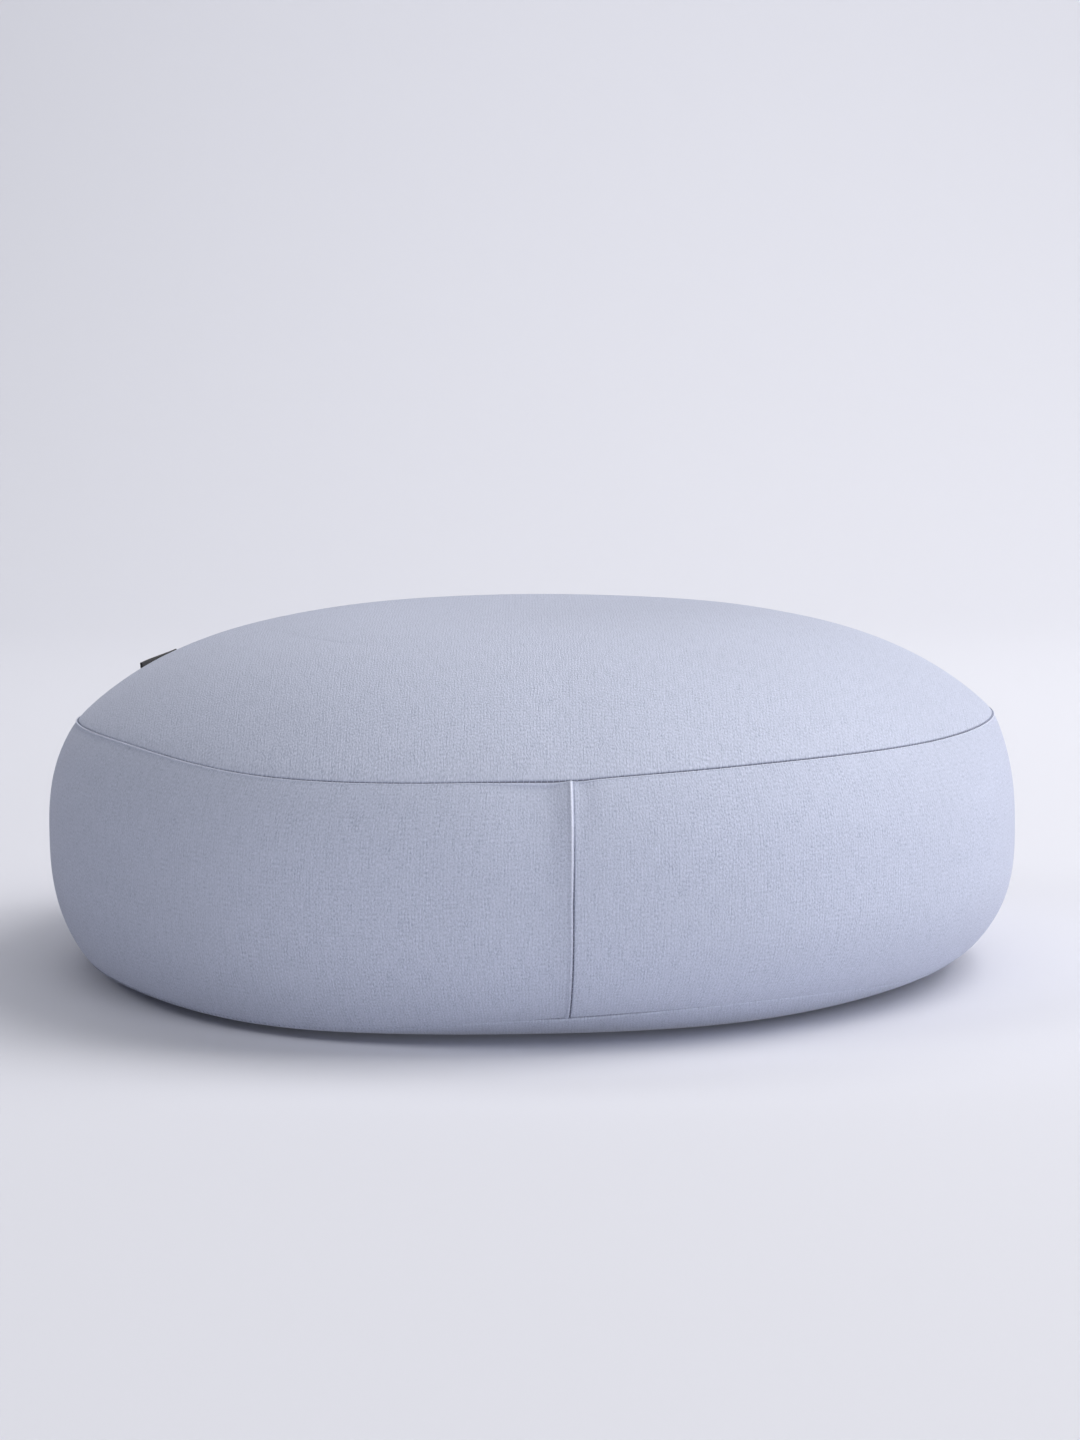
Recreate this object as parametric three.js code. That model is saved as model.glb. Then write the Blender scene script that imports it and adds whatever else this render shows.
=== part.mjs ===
// A round floor cushion, lying flat: a filled cloth body with a crowned top panel, a bulging side band
// closed by one upright seam, and a base panel, with a folded label tab caught in the top seam.
// Lengths are millimetres. +Z is up and the front faces -Y. An azimuth is counted from the front,
// positive to the right. The origin is on the floor, under the middle of the body.

import * as THREE from "three";
import { ParametricGeometry } from "three/addons/geometries/ParametricGeometry.js";
import { mergeVertices } from "three/addons/utils/BufferGeometryUtils.js";

const { degToRad, radToDeg, euclideanModulo, lerp, smoothstep } = THREE.MathUtils;

// Even cushion: the radius and the level of each place where the profile changes
const HEIGHT = 181;
const TOP_SEAM_RADIUS = 235;
const TOP_SEAM_LEVEL = 125;
const WIDEST_RADIUS = 250;
const WIDEST_LEVEL = 71;
const BASE_SEAM_RADIUS = 228;
const BASE_SEAM_LEVEL = 10;
const FOOT_RADIUS = 190;

// Fullness of each stretch of cloth: the higher, the flatter its middle and the later it turns in
const CROWN_FULLNESS = 4.3;
const UPPER_BAND_FULLNESS = 2.6;
const LOWER_BAND_FULLNESS = 2.7;
const UNDERSIDE_FULLNESS = 2.3;

// Unevenness of the filling: how far the seams and the band stand off the even cushion, a row for
// each section round it
const SECTIONS = [
  { azimuth: -180, topSeamUp: 2, topSeamOut: 1, bandOut: 0, baseSeamUp: 0, baseSeamOut: 0 },
  { azimuth: -150, topSeamUp: -1, topSeamOut: 0, bandOut: 0, baseSeamUp: 0, baseSeamOut: 0 },
  { azimuth: -120, topSeamUp: -6, topSeamOut: 0, bandOut: 0, baseSeamUp: 0, baseSeamOut: 0 },
  { azimuth: -90, topSeamUp: 2, topSeamOut: 0, bandOut: 0, baseSeamUp: -2, baseSeamOut: 4 },
  { azimuth: -60, topSeamUp: 4, topSeamOut: -4, bandOut: -2, baseSeamUp: -2, baseSeamOut: 4 },
  { azimuth: -30, topSeamUp: -2, topSeamOut: 1, bandOut: 0, baseSeamUp: -5, baseSeamOut: 4 },
  { azimuth: 0, topSeamUp: 0, topSeamOut: 0, bandOut: 0, baseSeamUp: 2, baseSeamOut: -3 },
  { azimuth: 30, topSeamUp: 4, topSeamOut: 0, bandOut: 1, baseSeamUp: 6, baseSeamOut: 1 },
  { azimuth: 60, topSeamUp: 3, topSeamOut: -3, bandOut: 2, baseSeamUp: 0, baseSeamOut: -4 },
  { azimuth: 90, topSeamUp: 3, topSeamOut: 4, bandOut: -2, baseSeamUp: 1, baseSeamOut: 1 },
  { azimuth: 120, topSeamUp: 0, topSeamOut: 3, bandOut: -1, baseSeamUp: 0, baseSeamOut: 0 },
  { azimuth: 150, topSeamUp: -1, topSeamOut: 0, bandOut: 0, baseSeamUp: 0, baseSeamOut: 0 },
];

// Seams round the top and base panels: the cloth is drawn in along each, towards the filling
const SEAM_DEPTH = 1.3;
const SEAM_REACH = 6;
const TOP_SEAM_PULL = degToRad(40);
const BASE_SEAM_PULL = degToRad(-50);

// Upright seam of the band: both allowances are folded to its left as a raised lap, and beside the
// lap the upper part of the band is pulled into a soft hollow
const UPRIGHT_SEAM_AZIMUTH = 4.2;
const STITCH_DEPTH = 0.8;
const STITCH_REACH = 3;
const LAP_RISE = 0.8;
const LAP_CENTRE = -2;
const LAP_REACH = 2.5;
const HOLLOW_DEPTH = 1.6;
const HOLLOW_CENTRE = -9;
const HOLLOW_REACH = 8;
const HOLLOW_END_LEVEL = 30;
const UPRIGHT_SEAM_STATIONS = [-17, -13, -9, -5.5, -3.5, -2, -0.8, 0, 1.2, 3, 7];

// Label tab: a ribbon folded in half and standing up out of the top seam, at the back on the left
const LABEL_AZIMUTH = -119.5;
const LABEL_WIDTH = 32;
const LABEL_STANDING = 27;
const LABEL_THICKNESS = 1.4;
const LABEL_LEAN = 3;
const LABEL_TILT = 4;
const LABEL_FOLD = 1;
const LABEL_STEPS = 8;
const LABEL_ABOVE_SEAM = 0.9;

// Fineness of the body's surface: rings across each stretch of cloth, and sectors round it
const FOOT_RINGS = 2;
const UNDERSIDE_RINGS = 4;
const LOWER_BAND_RINGS = 8;
const UPPER_BAND_RINGS = 8;
const CROWN_RINGS = 14;
const EVEN_SECTORS = 58;

const CLOTH_COLOUR = 0xb7bccd;
const LABEL_COLOUR = 0x2b2a2e;

// A smooth closed curve through one column of the sections
function unevenness(column, azimuth) {
  const place = (radToDeg(azimuth) - SECTIONS[0].azimuth) / (360 / SECTIONS.length);
  const row = Math.floor(place);
  const t = place - row;
  const near = (step) => SECTIONS[euclideanModulo(row + step, SECTIONS.length)][column];
  const [before, from, to, after] = [-1, 0, 1, 2].map(near);
  const bend = 2 * before - 5 * from + 4 * to - after;
  const twist = 3 * (from - to) + after - before;
  return from + (t * (to - before + t * (bend + t * twist))) / 2;
}

// The places where the profile changes, at one azimuth
function sectionAt(azimuth) {
  const baseSeamOut = unevenness("baseSeamOut", azimuth);
  return {
    topSeam: {
      r: TOP_SEAM_RADIUS + unevenness("topSeamOut", azimuth),
      z: TOP_SEAM_LEVEL + unevenness("topSeamUp", azimuth),
    },
    widest: { r: WIDEST_RADIUS + unevenness("bandOut", azimuth), z: WIDEST_LEVEL },
    baseSeam: {
      r: BASE_SEAM_RADIUS + baseSeamOut,
      z: BASE_SEAM_LEVEL + unevenness("baseSeamUp", azimuth),
    },
    foot: { r: FOOT_RADIUS + baseSeamOut, z: 0 },
  };
}

// The stretches of the profile, each with its share run from 0 at its lower end to 1 at its upper end
const foot = (section, share) => ({ r: section.foot.r * share, z: 0 });

const underside = ({ foot, baseSeam }, share) => ({
  r: lerp(foot.r, baseSeam.r, share),
  z: baseSeam.z * share ** UNDERSIDE_FULLNESS,
});

const lowerBand = ({ baseSeam, widest }, share) => ({
  r: widest.r - (widest.r - baseSeam.r) * (1 - share) ** LOWER_BAND_FULLNESS,
  z: lerp(baseSeam.z, widest.z, share),
});

const upperBand = ({ widest, topSeam }, share) => ({
  r: widest.r - (widest.r - topSeam.r) * share ** UPPER_BAND_FULLNESS,
  z: lerp(widest.z, topSeam.z, share),
});

const crown = ({ topSeam }, share) => ({
  r: topSeam.r * (1 - share),
  z: HEIGHT - (HEIGHT - topSeam.z) * (1 - share) ** CROWN_FULLNESS,
});

// Rings across one stretch, at even steps or at steps that shorten towards a seam at one of its ends
const evenly = (share) => share;
const fineAtStart = (share) => share ** 2;
const fineAtEnd = (share) => 1 - (1 - share) ** 2;

function rings(stretch, count, spacing) {
  return Array.from({ length: count }, (_, i) => ({ stretch, share: spacing(i / count) }));
}

const PROFILE = [
  ...rings(foot, FOOT_RINGS, evenly),
  ...rings(underside, UNDERSIDE_RINGS, fineAtEnd),
  ...rings(lowerBand, LOWER_BAND_RINGS, fineAtStart),
  ...rings(upperBand, UPPER_BAND_RINGS, fineAtEnd),
  ...rings(crown, CROWN_RINGS, fineAtStart),
  { stretch: crown, share: 1 },
];

// Azimuths of the sectors: close beside the upright seam, and even over the rest of the way round
function sectorAzimuths() {
  const seam = degToRad(UPRIGHT_SEAM_AZIMUTH);
  const beside = UPRIGHT_SEAM_STATIONS.map((along) => seam + along / WIDEST_RADIUS);
  const start = beside.at(-1);
  const arc = beside[0] + 2 * Math.PI - start;
  const around = Array.from({ length: EVEN_SECTORS }, (_, i) => start + (arc * (i + 1)) / EVEN_SECTORS);
  return [...beside, ...around];
}

// A rounded bump: 1 in its middle, and 0 from its reach on
function bump(offset, reach) {
  const within = Math.min(1, Math.abs(offset) / reach);
  return (1 + Math.cos(Math.PI * within)) / 2;
}

// How far the cloth is drawn in at a distance from a panel's seam
const drawnIn = (distance) => SEAM_DEPTH * Math.max(0, 1 - distance / SEAM_REACH) ** 2;

// How far the band stands out beside its upright seam, fading into the seams above and below it
function uprightSeamRelief(azimuth, z, { baseSeam, topSeam }) {
  const along = (azimuth - degToRad(UPRIGHT_SEAM_AZIMUTH)) * WIDEST_RADIUS;
  const clearOfBase = smoothstep(z, baseSeam.z, baseSeam.z + SEAM_REACH);
  const clearOfTop = smoothstep(topSeam.z - z, 0, SEAM_REACH);
  const stitches = STITCH_DEPTH * bump(along, STITCH_REACH);
  const lap = LAP_RISE * bump(along - LAP_CENTRE, LAP_REACH);
  const hollowFade = smoothstep(z, HOLLOW_END_LEVEL, topSeam.z);
  const hollow = HOLLOW_DEPTH * hollowFade * bump(along - HOLLOW_CENTRE, HOLLOW_REACH);
  return clearOfBase * clearOfTop * (lap - stitches - hollow);
}

// A point of the body's surface, from a ring of the profile and an azimuth
function bodyPoint({ stretch, share }, azimuth, target) {
  const section = sectionAt(azimuth);
  const { r, z } = stretch(section, share);
  const fromTopSeam = drawnIn(Math.hypot(r - section.topSeam.r, z - section.topSeam.z));
  const fromBaseSeam = drawnIn(Math.hypot(r - section.baseSeam.r, z - section.baseSeam.z));
  const radius =
    r +
    uprightSeamRelief(azimuth, z, section) -
    fromTopSeam * Math.cos(TOP_SEAM_PULL) -
    fromBaseSeam * Math.cos(BASE_SEAM_PULL);
  const level = z - fromTopSeam * Math.sin(TOP_SEAM_PULL) - fromBaseSeam * Math.sin(BASE_SEAM_PULL);
  return target.set(radius * Math.sin(azimuth), -radius * Math.cos(azimuth), level);
}

// One closed surface whose shared vertices are merged
function closed(geometry) {
  geometry.deleteAttribute("normal");
  geometry.deleteAttribute("uv");
  const merged = mergeVertices(geometry, 1e-3);
  merged.computeVertexNormals();
  return merged;
}

function cushionBody() {
  const azimuths = sectorAzimuths();
  const sectors = azimuths.length - 1;
  const steps = PROFILE.length - 1;
  const surface = (u, v, target) =>
    bodyPoint(PROFILE[Math.round(v * steps)], azimuths[Math.round(u * sectors)], target);
  const cloth = new THREE.MeshStandardMaterial({ color: CLOTH_COLOUR, roughness: 0.92, metalness: 0 });
  const mesh = new THREE.Mesh(closed(new ParametricGeometry(surface, sectors, steps)), cloth);
  mesh.name = "cushion";
  return mesh;
}

// The tab is a flat strip bent to the seam, and thinner at the fold along its top edge
function labelTab() {
  const strip = new THREE.BoxGeometry(LABEL_WIDTH, LABEL_THICKNESS, LABEL_STANDING, LABEL_STEPS, 2, 4);
  const points = strip.attributes.position;
  for (let i = 0; i < points.count; i += 1) {
    const turn = points.getX(i) / TOP_SEAM_RADIUS;
    const up = points.getZ(i) / LABEL_STANDING + 0.5;
    const { topSeam } = sectionAt(degToRad(LABEL_AZIMUTH) + turn);
    const folded = up < 1 ? 1 : 1 - LABEL_FOLD / LABEL_THICKNESS;
    const seamRadius = topSeam.r - SEAM_DEPTH * Math.cos(TOP_SEAM_PULL);
    const seamLevel = topSeam.z - SEAM_DEPTH * Math.sin(TOP_SEAM_PULL);
    const r = seamRadius + LABEL_THICKNESS / 2 + points.getY(i) * -folded + LABEL_LEAN * up;
    const tilt = (LABEL_TILT * up * points.getX(i)) / (LABEL_WIDTH / 2);
    const z = seamLevel + LABEL_ABOVE_SEAM + LABEL_STANDING * up - tilt;
    points.setXYZ(i, r * Math.sin(turn), -r * Math.cos(turn), z);
  }
  const ribbon = new THREE.MeshStandardMaterial({ color: LABEL_COLOUR, roughness: 0.8, metalness: 0 });
  const mesh = new THREE.Mesh(closed(strip), ribbon);
  mesh.name = "label_tab";
  mesh.rotation.z = degToRad(LABEL_AZIMUTH);
  return mesh;
}

const cushion = new THREE.Group();
cushion.add(cushionBody(), labelTab());

// The uneven body is moved so that its middle stands over the origin
const middle = new THREE.Box3().setFromObject(cushion).getCenter(new THREE.Vector3());
cushion.position.set(-middle.x, -middle.y, 0);

export default cushion;
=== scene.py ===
import math

import bpy
import numpy as np
from mathutils import Euler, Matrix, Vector


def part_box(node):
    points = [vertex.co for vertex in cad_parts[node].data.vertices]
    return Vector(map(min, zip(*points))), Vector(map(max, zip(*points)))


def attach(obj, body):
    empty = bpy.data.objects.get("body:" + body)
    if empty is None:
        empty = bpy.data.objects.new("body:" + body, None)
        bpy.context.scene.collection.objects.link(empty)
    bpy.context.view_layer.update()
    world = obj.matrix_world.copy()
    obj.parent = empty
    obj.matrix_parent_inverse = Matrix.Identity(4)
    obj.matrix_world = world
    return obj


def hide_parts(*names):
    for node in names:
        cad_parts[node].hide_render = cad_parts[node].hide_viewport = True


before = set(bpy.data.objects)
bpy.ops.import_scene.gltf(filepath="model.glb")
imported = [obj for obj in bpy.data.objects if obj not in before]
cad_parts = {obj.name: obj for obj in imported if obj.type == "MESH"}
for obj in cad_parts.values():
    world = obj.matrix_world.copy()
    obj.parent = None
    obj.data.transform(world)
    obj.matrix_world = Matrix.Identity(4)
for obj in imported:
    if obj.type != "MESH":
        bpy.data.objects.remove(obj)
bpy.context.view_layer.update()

# Camera: it stands in front of the cushion, a third of a metre above the floor, and looks along +Y and
# a little down, so that the cushion almost fills the width of the frame.
IMAGE_WIDTH, IMAGE_HEIGHT = 1080, 1440
SENSOR_MM = 36.0
FOCAL_PIXELS = 3363.0
CAMERA_DISTANCE = 1.75
CAMERA_ELEVATION = math.radians(7.76)
CAMERA_ROLL = math.radians(-0.39)
BODY_AXIS = Vector((0.0011, 0.0001, 0.0))
AIM = BODY_AXIS + Vector((0.0, 0.0, 0.100))
AIM_PIXEL = (532.2, 765.3)

camera_data = bpy.data.cameras.new("camera")
camera_data.sensor_width = SENSOR_MM
camera_data.lens = SENSOR_MM * FOCAL_PIXELS / IMAGE_HEIGHT
camera_data.shift_x = (IMAGE_WIDTH / 2 - AIM_PIXEL[0]) / IMAGE_HEIGHT
camera_data.shift_y = (AIM_PIXEL[1] - IMAGE_HEIGHT / 2) / IMAGE_HEIGHT
camera = bpy.data.objects.new("camera", camera_data)
bpy.context.scene.collection.objects.link(camera)
towards_camera = Vector((0.0, -math.cos(CAMERA_ELEVATION), math.sin(CAMERA_ELEVATION)))
camera.location = AIM + CAMERA_DISTANCE * towards_camera
camera_turn = Euler((math.pi / 2 - CAMERA_ELEVATION, 0.0, 0.0)).to_matrix()
camera_turn = camera_turn @ Euler((0.0, 0.0, CAMERA_ROLL)).to_matrix()
camera.rotation_euler = camera_turn.to_euler()
bpy.context.scene.camera = camera

# Floor and backdrop: one pale matt sheet that lies on the ground and sweeps up behind the cushion.
# It is a plane with its far edge drawn up and the bend between the two bevelled round.
FLOOR_HALF = 9.0
FLOOR_BACK = 4.0
FLOOR_LEVEL = -0.0002
SWEEP_HEIGHT = 4.0
SWEEP_ROUND = 2.2
SWEEP_SEGMENTS = 24
FLOOR_COLOUR = (0.655, 0.665, 0.735, 1.0)
FLOOR_ROUGHNESS = 0.9


def deselect_all():
    bpy.ops.object.select_all(action="DESELECT")


def select_edges(piece, chosen):
    """Leave the piece in edit mode with only the chosen edges selected."""
    bpy.ops.object.mode_set(mode="EDIT")
    bpy.ops.mesh.select_mode(type="EDGE")
    bpy.ops.mesh.select_all(action="DESELECT")
    bpy.ops.object.mode_set(mode="OBJECT")
    for edge in piece.data.edges:
        edge.select = chosen(edge)
    bpy.ops.object.mode_set(mode="EDIT")


def new_material(name):
    """The material, its tree of nodes and its shader."""
    material = bpy.data.materials.new(name)
    material.use_nodes = True
    return material, material.node_tree, material.node_tree.nodes["Principled BSDF"]


deselect_all()
floor_middle = (0.0, FLOOR_BACK - FLOOR_HALF, FLOOR_LEVEL)
bpy.ops.mesh.primitive_plane_add(size=2 * FLOOR_HALF, location=floor_middle)
floor = bpy.context.object
floor.name = "floor"
bpy.ops.object.transform_apply(location=True)
select_edges(floor, lambda edge: all(floor.data.vertices[i].co.y > 0 for i in edge.vertices))
bpy.ops.mesh.extrude_region_move(TRANSFORM_OT_translate={"value": (0.0, 0.0, SWEEP_HEIGHT)})
bpy.ops.object.mode_set(mode="OBJECT")
low_corner = [v.index for v in floor.data.vertices if v.co.y > 0 and v.co.z < SWEEP_HEIGHT / 2]
select_edges(floor, lambda edge: all(i in low_corner for i in edge.vertices))
bpy.ops.mesh.bevel(offset=SWEEP_ROUND, segments=SWEEP_SEGMENTS, affect="EDGES")
bpy.ops.object.mode_set(mode="OBJECT")
bpy.ops.object.shade_smooth()
floor_material, _, floor_finish = new_material("pale_floor")
floor_finish.inputs["Base Color"].default_value = FLOOR_COLOUR
floor_finish.inputs["Roughness"].default_value = FLOOR_ROUGHNESS
floor.data.materials.append(floor_material)

# Light: soft boxes high and low on the right, two low strips in front that fill the band and hardly
# reach the floor, one for the floor on the left, one for the floor in front and one for the backdrop.
WHITE = (1.0, 1.0, 1.0)
WARM_WHITE = (1.0, 0.98, 0.95)
ROOM_COLOUR = (1.0, 1.0, 1.0, 1.0)
ROOM_STRENGTH = 0.01


def soft_box(name, place, target, size, power, colour=WHITE):
    """A lit sheet, size wide and high in metres, with its face turned to the target."""
    data = bpy.data.lights.new(name, "AREA")
    data.shape = "RECTANGLE"
    data.size, data.size_y = size
    data.energy = power
    data.color = colour
    light = bpy.data.objects.new(name, data)
    light.location = place
    light.rotation_euler = (Vector(place) - Vector(target)).to_track_quat("Z", "Y").to_euler()
    bpy.context.scene.collection.objects.link(light)


soft_box("high_right", (2.1, 0.3, 3.25), AIM, size=(2.25, 2.25), power=84.0, colour=WARM_WHITE)
soft_box("low_right", (3.36, 0.24, 1.94), AIM, size=(2.4, 2.4), power=74.0, colour=WARM_WHITE)
soft_box("front_strip", (0.0, -3.0, 0.28), AIM, size=(2.5, 0.5), power=18.0)
soft_box("right_strip", (2.2, -2.4, 0.28), AIM, size=(2.0, 0.5), power=30.0)
soft_box("left_wash", (-2.4, -0.9, 2.2), (-1.2, -1.0, 0.0), size=(1.2, 1.2), power=20.0)
soft_box("floor_wash", (0.0, -2.2, 3.0), (0.0, -1.6, 0.0), size=(3.0, 1.5), power=30.0)
soft_box("backdrop_wash", (0.0, 1.5, 2.6), (0.0, 3.0, 0.0), size=(3.0, 1.5), power=39.0)
room = bpy.data.worlds.new("room")
room.use_nodes = True
room.node_tree.nodes["Background"].inputs["Color"].default_value = ROOM_COLOUR
room.node_tree.nodes["Background"].inputs["Strength"].default_value = ROOM_STRENGTH
bpy.context.scene.world = room
bpy.context.scene.view_settings.view_transform = "Standard"

# Cover: a round top panel, a side band and a round base panel of stretch knit, sewn together and
# filled. It is one padded piece, raised ring by ring from the foot, swelled as cloth under pressure,
# and then drawn in along its seams.
MM = 0.001
HAIR = 0.01 * MM
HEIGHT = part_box("cushion")[1].z
TOP_SEAM_RADIUS = 235 * MM
TOP_SEAM_LEVEL = 125.4 * MM
WIDEST_RADIUS = 250 * MM
WIDEST_LEVEL = 71 * MM
BASE_SEAM_RADIUS = 228 * MM
BASE_SEAM_LEVEL = 10 * MM
FOOT_RADIUS = 190 * MM
PATCH_RADIUS = 140 * MM
CROWN_FULLNESS = 4.3
UPPER_BAND_FULLNESS = 2.6
LOWER_BAND_FULLNESS = 2.7
UNDERSIDE_FULLNESS = 2.3
SECTORS = 240
SECTOR = math.tau / SECTORS
PATCH_SPAN = SECTORS // 4
RINGS = {"foot": 6, "underside": 7, "lower_band": 11, "upper_band": 9, "crown": 17}
BASE_RING = RINGS["foot"] + RINGS["underside"]
TOP_RING = BASE_RING + RINGS["lower_band"] + RINGS["upper_band"]

# The upright seam stands at these azimuths at three levels of the band, on the column of points at one
# sector, and the top seam dips a little where the two meet
UPRIGHT_LEVELS = (10 * MM, 71 * MM, 125 * MM)
UPRIGHT_AZIMUTHS = tuple(math.radians(angle) for angle in (4.1, 4.12, 4.45))
UPRIGHT_SECTOR = 3
TURNED_SECTORS = 5
SEAM_DIP = 0.6 * MM
SEAM_DIP_SPREAD = math.radians(3)

# Unevenness of the filling in millimetres, a row for each 30 degrees round the cushion from the back,
# by the left, the front and the right: top seam up, top seam out, band out, base seam up, base seam out
SECTIONS = np.array([
    (2, 1, 0, 0, 0),
    (-1, 0, 0, 0, 0),
    (-6, 0, 0, 0, 0),
    (2, 0, 0, -2, 4),
    (4, -4, -2, -2, 4),
    (-2, 1, 0, -5, 4),
    (0, 0, 0, 2, -3),
    (4, 0, 1, 6, 1),
    (3, -3, 2, 0, -4),
    (3, 4, -2, 1, 1),
    (0, 3, -1, 0, 0),
    (-1, 0, 0, 0, 0),
]) * MM


def crown_level(share, seam_level=TOP_SEAM_LEVEL):
    return HEIGHT - (HEIGHT - seam_level) * share**CROWN_FULLNESS


def even_profile():
    """Radius and level of each ring of the even cushion, from the foot's patch to the crown's."""
    rings = []
    for i in range(RINGS["foot"]):
        rings.append((PATCH_RADIUS + (FOOT_RADIUS - PATCH_RADIUS) * i / RINGS["foot"], 0.0))
    for i in range(RINGS["underside"]):
        share = i / RINGS["underside"]
        radius = FOOT_RADIUS + (BASE_SEAM_RADIUS - FOOT_RADIUS) * share
        rings.append((radius, BASE_SEAM_LEVEL * share**UNDERSIDE_FULLNESS))
    for i in range(RINGS["lower_band"]):
        share = 1 - i / RINGS["lower_band"]
        radius = WIDEST_RADIUS - (WIDEST_RADIUS - BASE_SEAM_RADIUS) * share**LOWER_BAND_FULLNESS
        rings.append((radius, WIDEST_LEVEL - (WIDEST_LEVEL - BASE_SEAM_LEVEL) * share))
    for i in range(RINGS["upper_band"]):
        share = i / RINGS["upper_band"]
        radius = WIDEST_RADIUS - (WIDEST_RADIUS - TOP_SEAM_RADIUS) * share**UPPER_BAND_FULLNESS
        rings.append((radius, WIDEST_LEVEL + (TOP_SEAM_LEVEL - WIDEST_LEVEL) * share))
    for i in range(RINGS["crown"] + 1):
        radius = TOP_SEAM_RADIUS - (TOP_SEAM_RADIUS - PATCH_RADIUS) * i / RINGS["crown"]
        rings.append((radius, crown_level(radius / TOP_SEAM_RADIUS)))
    return rings


def unevenness(azimuth):
    """The five columns of the sections on a smooth closed curve, with the dip in the top seam."""
    place = (azimuth + math.pi) / math.tau * len(SECTIONS)
    row = np.floor(place).astype(int)
    t = (place - row)[:, None]
    before, start, end, after = (SECTIONS[(row + k) % len(SECTIONS)] for k in (-1, 0, 1, 2))
    bend = 2 * before - 5 * start + 4 * end - after
    twist = 3 * (start - end) + after - before
    columns = (start + t * (end - before + t * (bend + t * twist)) / 2).T
    from_dip = (azimuth - UPRIGHT_AZIMUTHS[-1]) / SEAM_DIP_SPREAD
    columns[0] -= SEAM_DIP * np.exp(-(from_dip**2) / 2)
    return columns


def upright_azimuth(level):
    return np.interp(level, UPRIGHT_LEVELS, UPRIGHT_AZIMUTHS)


def read_values(items, name, width=1, kind=float):
    """A value of each point, edge, face or corner, in rows where it is more than one number."""
    values = np.empty(len(items) * width, dtype=kind)
    items.foreach_get(name, values)
    return values if width == 1 else values.reshape(-1, width)


def vertex_places(mesh):
    return read_values(mesh.vertices, "co", 3)


def move_vertices(mesh, places):
    mesh.vertices.foreach_set("co", places.ravel())
    mesh.update()


def polar(places):
    """Azimuth from the front, positive to the right, then radius and level."""
    x, y = places[:, 0] - BODY_AXIS.x, places[:, 1] - BODY_AXIS.y
    return np.arctan2(x, -y), np.hypot(x, y), places[:, 2]


def from_polar(azimuth, radius, level):
    x = BODY_AXIS.x + radius * np.sin(azimuth)
    y = BODY_AXIS.y - radius * np.cos(azimuth)
    return np.stack([x, y, level], 1)


def turn_faces_outwards():
    """Mend the normals of the mesh in edit mode, and leave edit mode."""
    bpy.ops.mesh.select_all(action="SELECT")
    bpy.ops.mesh.normals_make_consistent(inside=False)
    bpy.ops.object.mode_set(mode="OBJECT")


def edit(piece):
    deselect_all()
    piece.select_set(True)
    bpy.context.view_layer.objects.active = piece
    bpy.ops.object.mode_set(mode="EDIT")


deselect_all()
profile = even_profile()
bpy.ops.mesh.primitive_circle_add(vertices=SECTORS, radius=profile[0][0], location=BODY_AXIS)
cover = bpy.context.object
cover.name = "cushion_cover"
bpy.ops.object.transform_apply(location=True)
bpy.ops.object.mode_set(mode="EDIT")
bpy.ops.mesh.select_mode(type="EDGE")
bpy.ops.mesh.select_all(action="SELECT")
for (radius, level), (next_radius, next_level) in zip(profile, profile[1:]):
    climb = (0.0, 0.0, next_level - level)
    bpy.ops.mesh.extrude_region_move(TRANSFORM_OT_translate={"value": climb})
    grow = next_radius / radius
    centre = (BODY_AXIS.x, BODY_AXIS.y, next_level)
    bpy.ops.transform.resize(value=(grow, grow, 1.0), center_override=centre)
bpy.ops.mesh.fill_grid(span=PATCH_SPAN)
bpy.ops.object.mode_set(mode="OBJECT")
select_edges(cover, lambda edge: max(edge.vertices) < SECTORS)
bpy.ops.mesh.fill_grid(span=PATCH_SPAN)
turn_faces_outwards()

# The filling isn't even: each point moves out and up with the sections, and the columns near the
# upright seam turn a little so that one of them runs down the seam
places = vertex_places(cover.data)
azimuth, radius, level = polar(places)
foot = (radius < FOOT_RADIUS + HAIR) & (level < HAIR)
turn = upright_azimuth(level) - UPRIGHT_SECTOR * SECTOR
near_upright = np.clip(1 - np.abs(azimuth / SECTOR - UPRIGHT_SECTOR) / TURNED_SECTORS, 0, 1)
azimuth = azimuth + turn * near_upright
seam_up, seam_out, band_out, base_up, base_out = unevenness(azimuth)
crown_share = radius / TOP_SEAM_RADIUS
upper_share = (level - WIDEST_LEVEL) / (TOP_SEAM_LEVEL - WIDEST_LEVEL)
lower_share = (WIDEST_LEVEL - level) / (WIDEST_LEVEL - BASE_SEAM_LEVEL)
crown = level > TOP_SEAM_LEVEL - HAIR
upper_band = (level >= WIDEST_LEVEL) & ~crown
lower_band = (level > BASE_SEAM_LEVEL - HAIR) & (level < WIDEST_LEVEL)
upper_pull = np.clip(upper_share, 0, 1) ** UPPER_BAND_FULLNESS
lower_pull = np.clip(lower_share, 0, 1) ** LOWER_BAND_FULLNESS
moves_out = [
    seam_out * crown_share,
    band_out * (1 - upper_pull) + seam_out * upper_pull,
    band_out * (1 - lower_pull) + base_out * lower_pull,
    base_out * radius / FOOT_RADIUS,
]
new_levels = [
    crown_level(crown_share, TOP_SEAM_LEVEL + seam_up),
    level + seam_up * upper_share,
    level + base_up * lower_share,
]
underside_level = level * (1 + base_up / BASE_SEAM_LEVEL)
radius = radius + np.select([crown, upper_band, lower_band, foot], moves_out, base_out)
level = np.select([crown, upper_band, lower_band], new_levels, underside_level)
move_vertices(cover.data, from_polar(azimuth, radius, level))

# Two rings and one column of edges are marked as the seams. They and the foot are held while the
# filling swells the cloth, and the swell is then evened out over neighbours and limited.
FILLING_PRESSURE = 4.0
FILLING_STEPS = 20
EASING_STEPS = 60
SWELL_LIMIT = 1.5 * MM
LEAST_SWELL = 1e-9

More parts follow.
